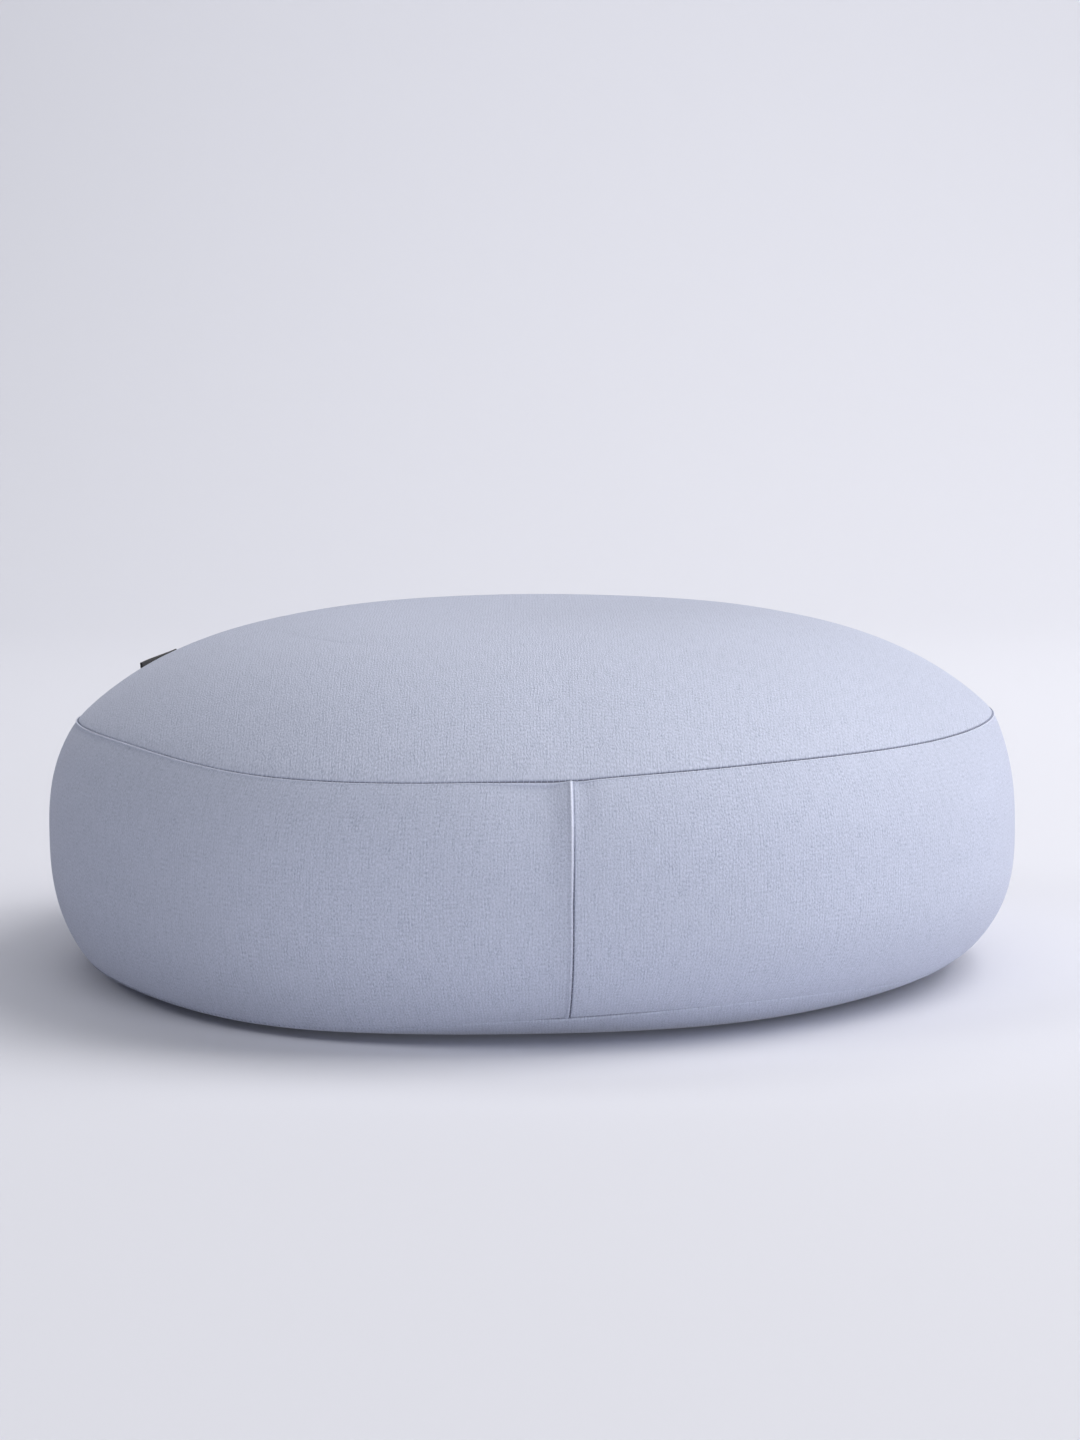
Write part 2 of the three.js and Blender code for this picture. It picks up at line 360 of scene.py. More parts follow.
seam_column = int(np.argmin(np.abs(azimuth[:SECTORS] - upright_azimuth(0.0))))
for edge in cover.data.edges:
    rings = {i // SECTORS for i in edge.vertices}
    columns = {i % SECTORS for i in edge.vertices}
    round_seam = rings in ({BASE_RING}, {TOP_RING})
    in_band = min(rings) >= BASE_RING and max(rings) <= TOP_RING
    edge.use_seam = round_seam or (columns == {seam_column} and in_band)
seam_vertices = {i for edge in cover.data.edges if edge.use_seam for i in edge.vertices}
held = sorted(seam_vertices | set(np.flatnonzero(foot).tolist()))
sewn = cover.vertex_groups.new(name="sewn")
sewn.add(held, 1.0, "REPLACE")
filling = cover.modifiers.new("filling", "CLOTH")
filling.settings.use_pressure = True
filling.settings.uniform_pressure_force = FILLING_PRESSURE
filling.settings.effector_weights.gravity = 0.0
filling.settings.vertex_group_mass = sewn.name
for step in range(FILLING_STEPS):
    bpy.context.scene.frame_set(step + 1)
bpy.context.view_layer.objects.active = cover
bpy.ops.object.modifier_apply(modifier=filling.name)
bpy.context.scene.frame_set(1)
cover.vertex_groups.clear()
start = from_polar(azimuth, radius, level)
swell = vertex_places(cover.data) - start
edge_ends = read_values(cover.data.edges, "vertices", 2, int)
one_end, other_end = edge_ends.T
neighbours = np.bincount(edge_ends.ravel(), minlength=len(swell))[:, None]
for _ in range(EASING_STEPS):
    eased = np.zeros_like(swell)
    np.add.at(eased, one_end, swell[other_end])
    np.add.at(eased, other_end, swell[one_end])
    swell = (swell + eased / neighbours) / 2
    swell[held] = 0.0
swell_size = np.maximum(np.linalg.norm(swell, axis=1), LEAST_SWELL)[:, None]
swell *= SWELL_LIMIT * np.tanh(swell_size / SWELL_LIMIT) / swell_size
swollen = start + swell
swollen[:, 2] = np.where(foot, 0.0, np.maximum(swollen[:, 2], 0.0))
move_vertices(cover.data, swollen)

# One subdivision, and a fine strip of faces along each seam for its groove
SEAM_HALF_WIDTH = 2.0 * MM
SEAM_SEGMENTS = 16

smooth = cover.modifiers.new("smooth", "SUBSURF")
smooth.levels = smooth.render_levels = 1
bpy.ops.object.modifier_apply(modifier=smooth.name)
select_edges(cover, lambda edge: edge.use_seam)
bpy.ops.mesh.mark_seam(clear=True)
bpy.ops.mesh.bevel(offset=SEAM_HALF_WIDTH, segments=SEAM_SEGMENTS, affect="EDGES", clamp_overlap=False)
bpy.ops.object.mode_set(mode="OBJECT")

# Each seam is a narrow groove, and the round ones draw the cloth in a little on both sides. The band's
# edge stands up along the top seam. The lap of the upright seam has a wide hollow on its left. A pair
# gives the place and the width of a ridge or a groove, up the cloth or to the right across the seam.
TOP_SEAM_SLOPE = math.radians(130)
BASE_SEAM_SLOPE = math.radians(38)
WIDE_PULL = 0.4 * MM
SEAM_REACH = 6 * MM
TOP_ZONE = 100 * MM
BASE_ZONE = 40 * MM
BASE_ZONE_RADIUS = 205 * MM
BAND_FADE = 1 * MM
GROOVE_DEPTH = 1.0 * MM
GROOVE_WIDTH = 0.26 * MM
BASE_GROOVE_PLACE = 0.1 * MM
BASE_GROOVE_DEEPER = 1.4
UPRIGHT_GROOVE = (0.25 * MM, GROOVE_WIDTH)
EDGE_RISE = 0.45 * MM
BAND_EDGE = (-0.65 * MM, 0.32 * MM)
LAP_RISE = 1.2 * MM
LAP_EDGE = (-0.95 * MM, 0.55 * MM)
LAP_LOW_END = 0.45
LAP_GROWTH = 0.6
HOLLOW_DEPTH = 2.6 * MM
HOLLOW_PLACE = -11 * MM
HOLLOW_TAIL = 17 * MM
HOLLOW_CLIMB = 10 * MM
HOLLOW_FADE = 0.7
RIGHT_HOLLOW = (4.0 * MM, 3.0 * MM)
RIGHT_HOLLOW_SHARE = 0.5
RIGHT_HOLLOW_FADE = 4

# The top seam is pinched shut towards the left and at the far right, between these shares of the way to
# the side, and gapes at the front right and the back left. The base seam is open only at the front
# right, between these degrees. The upright seam closes towards its top, between these shares of it.
LEFT_PINCH = (-0.40909, -0.86364)
RIGHT_PINCH = (0.92143, 0.99286)
RIGHT_PINCH_SHARE = 0.7
GAPE = 1.3
PINCHED_NARROWER = 0.25
PINCHED_SHALLOWER = 0.45
GAPING_WIDER = 0.35
BASE_OPENS = (-1, 3)
BASE_CLOSES = (24, 9)
BASE_CLOSED_DEPTH = 0.25
BASE_OPEN_WIDER = 1.3
UPRIGHT_CLOSES = (0.53333, 0.86667)
UPRIGHT_CLOSED = 0.55

places = vertex_places(cover.data)
azimuth, radius, level = polar(places)
seam_up, seam_out, band_out, base_up, base_out = unevenness(azimuth)


def across(seam_radius, seam_level, slope):
    """Distance from a seam over the cloth in the radial plane, positive up the slope."""
    return (radius - seam_radius) * math.cos(slope) + (level - seam_level) * math.sin(slope)


def ridge(distance, place, width):
    return np.exp(-(((distance - place) / width) ** 2) / 2)


def ramp(values, start, end):
    """Share of the way from start to end, from 0 to 1."""
    return np.clip((values - start) / (end - start), 0, 1)


from_top = across(TOP_SEAM_RADIUS + seam_out, TOP_SEAM_LEVEL + seam_up, TOP_SEAM_SLOPE)
from_base = across(BASE_SEAM_RADIUS + base_out, BASE_SEAM_LEVEL + base_up, BASE_SEAM_SLOPE)
from_upright = (azimuth - upright_azimuth(level)) * radius
near_top = level > TOP_ZONE
near_base = (level < BASE_ZONE) & (radius > BASE_ZONE_RADIUS)
on_front = np.abs(azimuth) < math.pi / 2
within_band = ramp(from_top, 0, -BAND_FADE) * ramp(from_base, 0, BAND_FADE) * on_front
share_up = ramp(level, BASE_SEAM_LEVEL, TOP_SEAM_LEVEL)

pinched = ramp(np.sin(azimuth), *LEFT_PINCH) + RIGHT_PINCH_SHARE * ramp(np.sin(azimuth), *RIGHT_PINCH)
gaping = np.clip(GAPE * np.sin(2 * azimuth), 0, 1)
top_width = GROOVE_WIDTH * (1 - PINCHED_NARROWER * pinched + GAPING_WIDER * gaping)
top_groove = ridge(from_top, 0.0, top_width) * near_top * (1 - PINCHED_SHALLOWER * pinched)
base_open = ramp(np.degrees(azimuth), *BASE_OPENS) * ramp(np.degrees(azimuth), *BASE_CLOSES)
base_width = GROOVE_WIDTH * (1 + BASE_OPEN_WIDER * base_open)
base_groove = ridge(from_base, BASE_GROOVE_PLACE, base_width) * near_base
base_groove *= BASE_CLOSED_DEPTH + (1 - BASE_CLOSED_DEPTH) * base_open
upright_groove = ridge(from_upright, *UPRIGHT_GROOVE) * within_band
upright_groove *= 1 - UPRIGHT_CLOSED * ramp(share_up, *UPRIGHT_CLOSES)
depth = np.maximum.reduce([top_groove, BASE_GROOVE_DEEPER * base_groove, upright_groove])
relief = -GROOVE_DEPTH * depth
relief -= WIDE_PULL * np.exp(-np.abs(from_top) / SEAM_REACH) * near_top
relief -= WIDE_PULL * np.exp(-np.abs(from_base) / SEAM_REACH) * near_base

band_edge = ridge(from_top, *BAND_EDGE) * near_top
relief += EDGE_RISE * (1 + pinched) * band_edge
lap_edge = ridge(from_upright, *LAP_EDGE) * within_band
relief += LAP_RISE * (LAP_LOW_END + LAP_GROWTH * share_up) * lap_edge
hollow_tail = ridge(from_upright, HOLLOW_PLACE, HOLLOW_TAIL)
climbed = ramp(from_upright, HOLLOW_PLACE, HOLLOW_PLACE + HOLLOW_CLIMB)
hollow = np.where(from_upright < HOLLOW_PLACE, hollow_tail, 0.5 + 0.5 * np.cos(math.pi * climbed))
relief -= HOLLOW_DEPTH * share_up**HOLLOW_FADE * hollow * within_band
right_hollow = RIGHT_HOLLOW_SHARE * share_up**RIGHT_HOLLOW_FADE * ridge(from_upright, *RIGHT_HOLLOW)
relief -= HOLLOW_DEPTH * right_hollow * within_band
places += read_values(cover.data.vertices, "normal", 3) * relief[:, None]
places[:, 2] = np.maximum(places[:, 2], 0.0)
move_vertices(cover.data, places)
cover.data.shade_smooth()

# The material darkens the grooves with painted shade, and lightens the raised edges of the band and the
# lap with painted highlight, stronger where the top seam is pinched
HIGHLIGHT_EVENLY = 0.7


def mark_points(name, values):
    mark = cover.data.attributes.new(name, "FLOAT", "POINT")
    mark.data.foreach_set("value", values)


mark_points("groove", np.maximum.reduce([top_groove, base_groove, upright_groove]))
band_highlight = band_edge * (HIGHLIGHT_EVENLY + (1 - HIGHLIGHT_EVENLY) * pinched)
mark_points("painted_highlight_edge", np.maximum(band_highlight, lap_edge * share_up))

# Knit coordinates in metres: the band unrolls from its upright seam, and the two panels lie flat, a
# little stretched and moved well aside so that their pattern isn't the band's
PANEL_STRETCH = 1.06
PANEL_ASIDE = 3.0
BAND_LEAST_RADIUS = 200 * MM

corner_vertices = read_values(cover.data.loops, "vertex_index", kind=int)
face_sizes = read_values(cover.data.polygons, "loop_total", kind=int)
face_of_corner = np.repeat(np.arange(len(face_sizes)), face_sizes)


def face_mean(values):
    return np.bincount(face_of_corner, values[corner_vertices]) / face_sizes


centre_azimuth, centre_radius, centre_level = polar(read_values(cover.data.polygons, "center", 3))
band_face = (face_mean(from_top) < 0) & (face_mean(from_base) > 0)
band_face &= centre_radius > BAND_LEAST_RADIUS
face_turn = (centre_azimuth - upright_azimuth(centre_level)) % math.tau
corner_turn = (azimuth - upright_azimuth(level))[corner_vertices]
corner_turn += math.tau * np.round((face_turn[face_of_corner] - corner_turn) / math.tau)
band_radii, band_levels = np.array(profile[BASE_RING:TOP_RING + 1]).T
steps_up = np.hypot(np.diff(band_levels), np.diff(band_radii))
low_edge = BASE_SEAM_LEVEL + base_up
share_of_band = (level - low_edge) / (TOP_SEAM_LEVEL + seam_up - low_edge)
even_level = BASE_SEAM_LEVEL + (TOP_SEAM_LEVEL - BASE_SEAM_LEVEL) * share_of_band
up_band = np.interp(even_level, band_levels, np.concatenate([[0.0], np.cumsum(steps_up)]))
on_band = band_face[face_of_corner]
on_panel = places[corner_vertices] * PANEL_STRETCH
u = np.where(on_band, corner_turn * WIDEST_RADIUS, on_panel[:, 0] + PANEL_ASIDE)
v = np.where(on_band, up_band[corner_vertices], on_panel[:, 1])
knit_map = cover.data.uv_layers.new(name="knit")
knit_map.data.foreach_set("uv", np.stack([u, v], 1).ravel())

# Knit: fine streaks, grain and rows of loops shade the yarn, and soft mottles and wear lie over them.
# A scale is in features per metre, and a pair of noise values is where a pattern starts and is full.
WALE_PITCH = 1.6 * MM
COURSE_PITCH = 2.1 * MM
LOOP_DRIFT = 9.0
STREAK_SCALE = (1300.0, 110.0, 1.0)
GRAIN_SCALE = (1500.0, 800.0, 1.0)
STRETCH_SCALE = (90.0, 90.0, 1.0)
MOTTLE_SCALE = (330.0, 80.0, 1.0)
WIDE_MOTTLE_SCALE = (9.0, 9.0, 14.0)
STREAK_NOISE = (0.30, 0.70)
GRAIN_NOISE = (0.28, 0.72)
MOTTLE_NOISE = (0.3, 0.7)
MIDDLE_NOISE = (0.35, 0.65)
WORN_NOISE = (0.45, 0.75)
SHADOW_GROOVE = (0.2, 0.9)
# The reach and the share of the painted highlight on the raised seam edges
HIGHLIGHT_REACH = (0.3, 1.0)
WALE_SHARE = 0.14
COURSE_SHARE = 0.06
STREAK_SHARE = 0.16
GRAIN_SHARE = 0.60
MOTTLE_SWING = 0.05
MIDDLE_SHARE = 0.35
WORN_SHARE = 0.25
SHADOW_SHARE = 0.9
HIGHLIGHT_SHARE = 0.75
CLOTH_SHADE = (0.272, 0.304, 0.402, 1.0)
CLOTH_TINT = (0.568, 0.600, 0.738, 1.0)
CLOTH_MIDDLE = (0.420, 0.454, 0.571, 1.0)
CLOTH_WORN = (0.383, 0.409, 0.509, 1.0)
# Painted highlight colour for the raised edges of the band and the lap
CLOTH_PAINTED_HIGHLIGHT = (0.720, 0.750, 0.880, 1.0)
SEAM_SHADOW = (0.085, 0.092, 0.130, 1.0)
CLOTH_ROUGHNESS = (0.95, 0.78)
CLOTH_SPECULAR = 0.25
CLOTH_SHEEN = 0.25
CLOTH_SHEEN_ROUGHNESS = 0.45
CLOTH_SHEEN_TINT = (0.86, 0.88, 1.0, 1.0)
YARN_BUMP = {"strength": 0.6, "distance": 0.35 * MM}
DRAPE_BUMP = {"strength": 0.5, "distance": 1.2 * MM}

cloth_material, cloth_tree, cloth_finish = new_material("lilac_grey_knit")


def add_node(tree, kind, **inputs):
    node = tree.nodes.new("ShaderNode" + kind)
    for name, value in inputs.items():
        node.inputs[name.replace("_", " ")].default_value = value
    return node


def uv_place(tree, name):
    node = add_node(tree, "UVMap")
    node.uv_map = name
    return node.outputs["UV"]


def object_place(tree):
    return add_node(tree, "TexCoord").outputs["Object"]


def point_value(tree, name):
    node = add_node(tree, "Attribute")
    node.attribute_name = name
    return node.outputs["Fac"]


def noise_over(tree, vector, scale, detail=2.0):
    """Noise on a stretched copy of the coordinates, scale in features per metre each way."""
    mapping = add_node(tree, "Mapping", Scale=scale)
    tree.links.new(vector, mapping.inputs["Vector"])
    noise = add_node(tree, "TexNoise", Scale=1.0, Detail=detail)
    tree.links.new(mapping.outputs["Vector"], noise.inputs["Vector"])
    return noise.outputs["Fac"]


def spread(tree, value, reach=(0.0, 1.0), result=(0.0, 1.0)):
    """The value's reach drawn out, evenly and with its ends cut off, to the reach of the result."""
    (low, high), (out_low, out_high) = reach, result
    node = add_node(tree, "MapRange", From_Min=low, From_Max=high, To_Min=out_low, To_Max=out_high)
    tree.links.new(value, node.inputs["Value"])
    return node.outputs["Result"]


def combine(tree, operation, first, second=0.0):
    """One Math node; the second value is a number or another node's output."""
    node = add_node(tree, "Math")
    node.operation = operation
    tree.links.new(first, node.inputs[0])
    if isinstance(second, float):
        node.inputs[1].default_value = second
    else:
        tree.links.new(second, node.inputs[1])
    return node.outputs["Value"]


def blend_colours(tree, factor, first, second):
    node = add_node(tree, "Mix")
    node.data_type = "RGBA"
    tree.links.new(factor, node.inputs["Factor"])
    for value, socket in ((first, node.inputs["A"]), (second, node.inputs["B"])):
        if isinstance(value, tuple):
            socket.default_value = value
        else:
            tree.links.new(value, socket)
    return node.outputs["Result"]


def bump(tree, height, strength, distance, over=None):
    """The surface's normal after a pattern has dented it, over another bump where one is given."""
    node = add_node(tree, "Bump", Strength=strength, Distance=distance)
    tree.links.new(height, node.inputs["Height"])
    if over:
        tree.links.new(over, node.inputs["Normal"])
    return node.outputs["Normal"]


knit_uv = uv_place(cloth_tree, "knit")
body_place = object_place(cloth_tree)
streaks = noise_over(cloth_tree, knit_uv, STREAK_SCALE, detail=1.0)
grain = noise_over(cloth_tree, knit_uv, GRAIN_SCALE, detail=1.0)
stretch = noise_over(cloth_tree, knit_uv, STRETCH_SCALE)
mottle = noise_over(cloth_tree, knit_uv, MOTTLE_SCALE)
wide_mottle = noise_over(cloth_tree, body_place, WIDE_MOTTLE_SCALE)
along_knit = add_node(cloth_tree, "SeparateXYZ")
cloth_tree.links.new(knit_uv, along_knit.inputs["Vector"])


def rows_of_loops(coordinate, pitch, share):
    """A wave over the rows of loops, from 0 to the share, a little uneven where the knit stretches."""
    phase = combine(cloth_tree, "MULTIPLY", coordinate, math.tau / pitch)
    phase = combine(cloth_tree, "ADD", phase, spread(cloth_tree, stretch, result=(0.0, LOOP_DRIFT)))
    wave = spread(cloth_tree, combine(cloth_tree, "SINE", phase), reach=(-1.0, 1.0))
    return spread(cloth_tree, wave, result=(0.0, share))


wales = rows_of_loops(along_knit.outputs["X"], WALE_PITCH, WALE_SHARE)
courses = rows_of_loops(along_knit.outputs["Y"], COURSE_PITCH, COURSE_SHARE)
loops = combine(cloth_tree, "ADD", wales, courses)
streak_share = spread(cloth_tree, streaks, STREAK_NOISE, (0.0, STREAK_SHARE))
grain_share = spread(cloth_tree, grain, GRAIN_NOISE, (0.0, GRAIN_SHARE))
mottle_swing = spread(cloth_tree, mottle, MOTTLE_NOISE, (-MOTTLE_SWING, MOTTLE_SWING))
yarn = combine(cloth_tree, "ADD", streak_share, grain_share)
yarn = combine(cloth_tree, "ADD", yarn, loops)
yarn = combine(cloth_tree, "ADD", yarn, mottle_swing)
cloth_colour = blend_colours(cloth_tree, yarn, CLOTH_SHADE, CLOTH_TINT)
middle_share = spread(cloth_tree, mottle, MIDDLE_NOISE, (0.0, MIDDLE_SHARE))
cloth_colour = blend_colours(cloth_tree, middle_share, cloth_colour, CLOTH_MIDDLE)
worn_share = spread(cloth_tree, wide_mottle, WORN_NOISE, (0.0, WORN_SHARE))
cloth_colour = blend_colours(cloth_tree, worn_share, cloth_colour, CLOTH_WORN)
shadow_share = spread(cloth_tree, point_value(cloth_tree, "groove"), SHADOW_GROOVE, (0.0, SHADOW_SHARE))
cloth_colour = blend_colours(cloth_tree, shadow_share, cloth_colour, SEAM_SHADOW)
# Painted highlight on the band's edge under the top seam and on the lap's edge
painted_highlight_edge = point_value(cloth_tree, "painted_highlight_edge")
highlight_share = spread(cloth_tree, painted_highlight_edge, HIGHLIGHT_REACH, (0.0, HIGHLIGHT_SHARE))
cloth_colour = blend_colours(cloth_tree, highlight_share, cloth_colour, CLOTH_PAINTED_HIGHLIGHT)
cloth_roughness = spread(cloth_tree, yarn, result=CLOTH_ROUGHNESS)
yarn_normal = bump(cloth_tree, yarn, **YARN_BUMP)
cloth_normal = bump(cloth_tree, wide_mottle, **DRAPE_BUMP, over=yarn_normal)
cloth_tree.links.new(cloth_colour, cloth_finish.inputs["Base Color"])
cloth_tree.links.new(cloth_roughness, cloth_finish.inputs["Roughness"])
cloth_tree.links.new(cloth_normal, cloth_finish.inputs["Normal"])
cloth_finish.inputs["Specular IOR Level"].default_value = CLOTH_SPECULAR
cloth_finish.inputs["Sheen Weight"].default_value = CLOTH_SHEEN
cloth_finish.inputs["Sheen Roughness"].default_value = CLOTH_SHEEN_ROUGHNESS
cloth_finish.inputs["Sheen Tint"].default_value = CLOTH_SHEEN_TINT
cover.data.materials.append(cloth_material)
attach(cover, "root")
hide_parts("cushion")

# Stitches: short rungs of polyester thread that cross the three seams and sit low in their grooves.
# One rung is drawn out of a small circle, and a copy is laid at each needle place.
THREAD_RADIUS = 0.15 * MM
RUNG_HALF_LENGTH = 0.8 * MM
RUNG_SIDES = 5
RUNG_STEPS = (-1.0, -0.55, 0.0, 0.55, 1.0)
RUNG_DIP = 0.5 * MM
RUNG_DEPTH = 0.55 * MM
BASE_RUNG_DEPTH = 0.8 * MM
UPRIGHT_RUNG_DEPTH = 0.35 * MM
UPRIGHT_RUNG_DEEPER = 0.5 * MM
ROUND_PITCH = 2.7 * MM
UPRIGHT_PITCH = 2.9 * MM
UPRIGHT_REACH = (13 * MM, 123 * MM)
THREAD_COLOUR = (0.36, 0.39, 0.50, 1.0)
THREAD_DARK = (0.25, 0.27, 0.37, 1.0)
TWIST_SCALE = (2600.0, 2600.0, 2600.0)
TWIST_NOISE = (0.3, 0.7)
TWIST_BUMP = {"strength": 0.4, "distance": 0.08 * MM}
THREAD_ROUGHNESS = (0.75, 0.55)
THREAD_SHEEN = 0.2

deselect_all()
bpy.ops.mesh.primitive_circle_add(
    vertices=RUNG_SIDES, radius=THREAD_RADIUS, location=(-RUNG_HALF_LENGTH, 0.0, 0.0),
    rotation=(0.0, math.pi / 2, 0.0))
stitches = bpy.context.object
stitches.name = "seam_stitches"
bpy.ops.object.transform_apply(location=True, rotation=True)
bpy.ops.object.mode_set(mode="EDIT")
bpy.ops.mesh.select_mode(type="EDGE")
bpy.ops.mesh.select_all(action="SELECT")
bpy.ops.mesh.edge_face_add()
for start, end in zip(RUNG_STEPS, RUNG_STEPS[1:]):
    reach = ((end - start) * RUNG_HALF_LENGTH, 0.0, 0.0)
    bpy.ops.mesh.extrude_region_move(TRANSFORM_OT_translate={"value": reach})
turn_faces_outwards()
rung = vertex_places(stitches.data)
rung[:, 2] -= RUNG_DIP * (rung[:, 0] / RUNG_HALF_LENGTH) ** 2
rung_faces = [tuple(face.vertices) for face in stitches.data.polygons]


def lay_rungs(azimuths, radii, levels, slope, depth, upright=False):
    """Places of the rung's points at each needle place; slope is the climb of the cloth there."""
    azimuths, radii, levels, slope, depth = np.broadcast_arrays(azimuths, radii, levels, slope, depth)
    outward = np.stack([np.sin(azimuths), -np.cos(azimuths), np.zeros_like(azimuths)], 1)
    sideways = np.stack([np.cos(azimuths), np.sin(azimuths), np.zeros_like(azimuths)], 1)
    up = np.array([[0.0, 0.0, 1.0]])
    climb = outward * np.cos(slope)[:, None] + up * np.sin(slope)[:, None]
    normal = outward * np.sin(slope)[:, None] - up * np.cos(slope)[:, None]
    along, across_seam = (climb, sideways) if upright else (sideways, climb)
    centre = outward * radii[:, None] + up * levels[:, None] - normal * depth[:, None]
    centre += np.array([[BODY_AXIS.x, BODY_AXIS.y, 0.0]])
    points = centre[:, None] + across_seam[:, None] * rung[None, :, :1]
    points = points + along[:, None] * rung[None, :, 1:2] + normal[:, None] * rung[None, :, 2:]
    return points.reshape(-1, 3)


def needle_azimuths(radius):
    return np.linspace(-math.pi, math.pi, round(math.tau * radius / ROUND_PITCH), endpoint=False)


at_top = needle_azimuths(TOP_SEAM_RADIUS)
top_up, top_out, _, _, _ = unevenness(at_top)
top_radii, top_levels = TOP_SEAM_RADIUS + top_out, TOP_SEAM_LEVEL + top_up
at_base = needle_azimuths(BASE_SEAM_RADIUS)
_, _, _, low_up, low_out = unevenness(at_base)
base_radii, base_levels = BASE_SEAM_RADIUS + low_out, BASE_SEAM_LEVEL + low_up
upright_levels = np.arange(*UPRIGHT_REACH, UPRIGHT_PITCH)
at_upright = upright_azimuth(upright_levels)
front_up, front_out, front_band, foot_up, foot_out = unevenness(at_upright)
rise = (upright_levels - WIDEST_LEVEL) / (TOP_SEAM_LEVEL + front_up - WIDEST_LEVEL)
fall = (WIDEST_LEVEL - upright_levels) / (WIDEST_LEVEL - BASE_SEAM_LEVEL - foot_up)
pull_up = np.clip(rise, 0, 1) ** UPPER_BAND_FULLNESS
pull_down = np.clip(fall, 0, 1) ** LOWER_BAND_FULLNESS
upright_radii = WIDEST_RADIUS + front_band * (1 - pull_up - pull_down)
upright_radii -= (WIDEST_RADIUS - TOP_SEAM_RADIUS - front_out) * pull_up
upright_radii -= (WIDEST_RADIUS - BASE_SEAM_RADIUS - foot_out) * pull_down
upright_slopes = np.arctan2(np.gradient(upright_levels), np.gradient(upright_radii))
upright_depths = UPRIGHT_RUNG_DEPTH + UPRIGHT_RUNG_DEEPER * np.clip(rise, 0, 1)
rungs = np.concatenate([
    lay_rungs(at_top, top_radii, top_levels, TOP_SEAM_SLOPE, RUNG_DEPTH),
    lay_rungs(at_base, base_radii, base_levels, BASE_SEAM_SLOPE, BASE_RUNG_DEPTH),
    lay_rungs(at_upright, upright_radii, upright_levels, upright_slopes, upright_depths, upright=True),
])
starts = range(0, len(rungs), len(rung))
faces = [tuple(start + i for i in face) for start in starts for face in rung_faces]
stitches.data.clear_geometry()
stitches.data.from_pydata(rungs.tolist(), [], faces)
stitches.data.update()
edit(stitches)
turn_faces_outwards()
bpy.ops.object.shade_smooth()

thread_material, thread_tree, thread_finish = new_material("matt_thread")
twist = noise_over(thread_tree, object_place(thread_tree), TWIST_SCALE)
twist_share = spread(thread_tree, twist, TWIST_NOISE)
thread_colour = blend_colours(thread_tree, twist_share, THREAD_DARK, THREAD_COLOUR)
thread_roughness = spread(thread_tree, twist, TWIST_NOISE, THREAD_ROUGHNESS)
thread_normal = bump(thread_tree, twist, **TWIST_BUMP)
thread_tree.links.new(thread_colour, thread_finish.inputs["Base Color"])
thread_tree.links.new(thread_roughness, thread_finish.inputs["Roughness"])
thread_tree.links.new(thread_normal, thread_finish.inputs["Normal"])
thread_finish.inputs["Sheen Weight"].default_value = THREAD_SHEEN
stitches.data.materials.append(thread_material)
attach(stitches, "root")

# Label tab: a blank dark ribbon, folded in half, with both ends caught in the top seam at the back on
# the left. It is drawn out as a strip, over the fold and down again, and then given its thickness.
LABEL_AZIMUTH = math.radians(-119.5)
LABEL_WIDTH = 32 * MM
LABEL_STANDING = 26.6 * MM
LABEL_LEAN = 3 * MM
LABEL_TILT = 2.6 * MM
LABEL_CLOTH = 0.45 * MM
LABEL_GAP = 0.5 * MM
LABEL_ABOVE_SEAM = 0.3 * MM
LABEL_RIPPLE = 0.5 * MM
RIPPLE_TURN = 5.0
RIPPLE_START = 0.6
LABEL_COLUMNS = 12
LABEL_ROWS = 12
FOLD_STEPS = 6
SHARPEST_SMOOTH_EDGE = math.radians(50)
RIBBON_COLOUR = (0.006, 0.006, 0.010, 1.0)
RIBBON_LIGHT = (0.018, 0.018, 0.024, 1.0)
RIBBON_WORN = (0.036, 0.036, 0.045, 1.0)
WARP_SCALE = (4200.0, 300.0, 1.0)
WEFT_SCALE = (500.0, 3800.0, 1.0)
FADING_SCALE = (140.0, 90.0, 1.0)
WEAVE_NOISE = (0.10, 0.45)
FADING_NOISE = (0.55, 0.85)
FADED_SHARE = 0.35
WEAVE_BUMP = {"strength": 0.6, "distance": 0.1 * MM}
RIBBON_ROUGHNESS = (0.7, 0.5)
RIBBON_SHEEN = 0.08
RIBBON_SHEEN_ROUGHNESS = 0.4

fold_radius = (LABEL_GAP + LABEL_CLOTH) / 2
side_share = 1 - fold_radius / LABEL_STANDING
side = [(fold_radius, LABEL_STANDING * i / LABEL_ROWS * side_share) for i in range(LABEL_ROWS + 1)]
fold = []
for i in range(1, FOLD_STEPS):
    angle = math.pi * i / FOLD_STEPS
    fold.append((fold_radius * math.cos(angle), side[-1][1] + fold_radius * math.sin(angle)))
strip = side + fold + [(-out, up) for out, up in reversed(side)]
deselect_all()
bpy.ops.mesh.primitive_grid_add(x_subdivisions=LABEL_COLUMNS, y_subdivisions=1, size=LABEL_WIDTH)
label = bpy.context.object
label.name = "label_ribbon_tab"
flat = vertex_places(label.data)
second_row = flat[:, 1] > 0
flat[:, 1] = np.where(second_row, strip[1][0], strip[0][0])
flat[:, 2] = np.where(second_row, strip[1][1], strip[0][1])
move_vertices(label.data, flat)
last_row = set(np.flatnonzero(second_row).tolist())
select_edges(label, lambda edge: all(i in last_row for i in edge.vertices))
for (out, up), (next_out, next_up) in zip(strip[1:], strip[2:]):
    step = (0.0, next_out - out, next_up - up)
    bpy.ops.mesh.extrude_region_move(TRANSFORM_OT_translate={"value": step})
bpy.ops.object.mode_set(mode="OBJECT")
ribbon_map = label.data.uv_layers.new(name="ribbon")
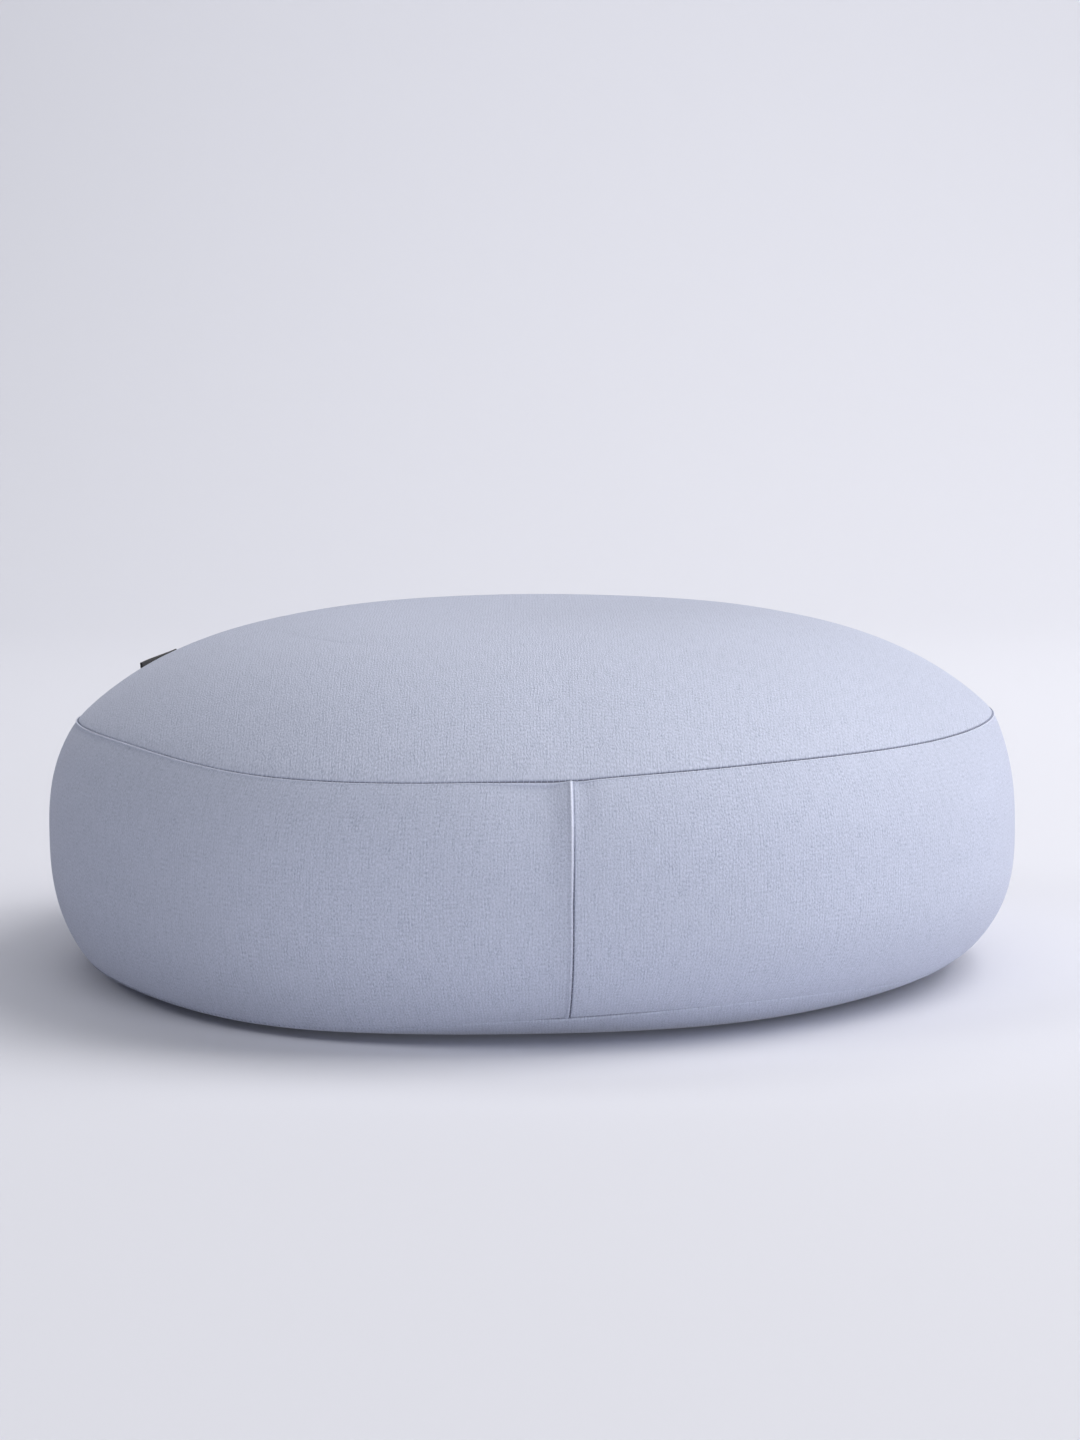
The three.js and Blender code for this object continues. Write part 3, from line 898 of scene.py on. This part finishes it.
for face in label.data.polygons:
    outer_side = face.center.y > 0
    for corner in face.loop_indices:
        place = label.data.vertices[label.data.loops[corner].vertex_index].co
        length = place.z if outer_side else 2 * LABEL_STANDING - place.z
        ribbon_map.data[corner].uv = (place.x, length)
thick = label.modifiers.new("thick", "SOLIDIFY")
thick.thickness = LABEL_CLOTH
thick.offset = 0.0
bpy.ops.object.modifier_apply(modifier=thick.name)

# The straight tab is bent to the seam's curve, leans out, ripples a little, and has its fold lower
# towards the front of the cushion
flat = vertex_places(label.data)
turn = flat[:, 0] / TOP_SEAM_RADIUS + LABEL_AZIMUTH
raised = flat[:, 2] / LABEL_STANDING
ripple = LABEL_RIPPLE * np.sin(flat[:, 0] / LABEL_WIDTH * RIPPLE_TURN + RIPPLE_START) * raised**2
tab_up, tab_out, _, _, _ = unevenness(turn)
tab_radius = TOP_SEAM_RADIUS + tab_out - WIDE_PULL + flat[:, 1] + LABEL_LEAN * raised + ripple
tilt = LABEL_TILT * flat[:, 0] / (LABEL_WIDTH / 2) * raised
tab_level = TOP_SEAM_LEVEL + tab_up + LABEL_ABOVE_SEAM + flat[:, 2] - tilt
move_vertices(label.data, from_polar(turn, tab_radius, tab_level))
edit(label)
turn_faces_outwards()
bpy.ops.object.shade_smooth_by_angle(angle=SHARPEST_SMOOTH_EDGE)

ribbon_material, ribbon_tree, ribbon_finish = new_material("dark_woven_ribbon")
ribbon_uv = uv_place(ribbon_tree, "ribbon")
warp = noise_over(ribbon_tree, ribbon_uv, WARP_SCALE, detail=1.0)
weft = noise_over(ribbon_tree, ribbon_uv, WEFT_SCALE, detail=1.0)
fading = noise_over(ribbon_tree, ribbon_uv, FADING_SCALE, detail=3.0)
weave = combine(ribbon_tree, "MULTIPLY", warp, weft)
weave_share = spread(ribbon_tree, weave, WEAVE_NOISE)
ribbon_colour = blend_colours(ribbon_tree, weave_share, RIBBON_COLOUR, RIBBON_LIGHT)
faded_share = spread(ribbon_tree, fading, FADING_NOISE, (0.0, FADED_SHARE))
ribbon_colour = blend_colours(ribbon_tree, faded_share, ribbon_colour, RIBBON_WORN)
ribbon_roughness = spread(ribbon_tree, weave, WEAVE_NOISE, RIBBON_ROUGHNESS)
ribbon_normal = bump(ribbon_tree, weave, **WEAVE_BUMP)
ribbon_tree.links.new(ribbon_colour, ribbon_finish.inputs["Base Color"])
ribbon_tree.links.new(ribbon_roughness, ribbon_finish.inputs["Roughness"])
ribbon_tree.links.new(ribbon_normal, ribbon_finish.inputs["Normal"])
ribbon_finish.inputs["Sheen Weight"].default_value = RIBBON_SHEEN
ribbon_finish.inputs["Sheen Roughness"].default_value = RIBBON_SHEEN_ROUGHNESS
label.data.materials.append(ribbon_material)
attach(label, "root")
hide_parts("label_tab")
